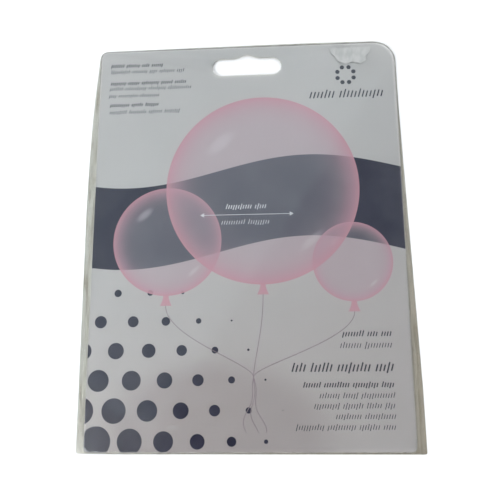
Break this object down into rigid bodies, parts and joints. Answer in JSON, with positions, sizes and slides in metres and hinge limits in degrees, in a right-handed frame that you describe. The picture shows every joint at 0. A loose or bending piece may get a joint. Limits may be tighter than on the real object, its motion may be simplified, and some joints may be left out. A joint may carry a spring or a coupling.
{
  "type": "retail packet",
  "caption": "Flat clear film packet with a stiff printed card inside and a hang hole punched through its top, lying on its back.",
  "frame": {"origin": "middle of the packet's outline, on the surface that its back lies on", "axes": "+X to the right across the face, +Y up the packet to the hang hole, +Z out of the face"},
  "size_m": [0.1684, 0.212, 0.0018],
  "materials": {
    "clear_film": "clear glossy film",
    "printed_board": "smooth coated board, printed",
    "label_paper": "torn label paper"
  },
  "bodies": {
    "root": {"film_pouch": "clear_film", "printed_card": "printed_board", "torn_label": "label_paper"}
  },
  "joints": []
}
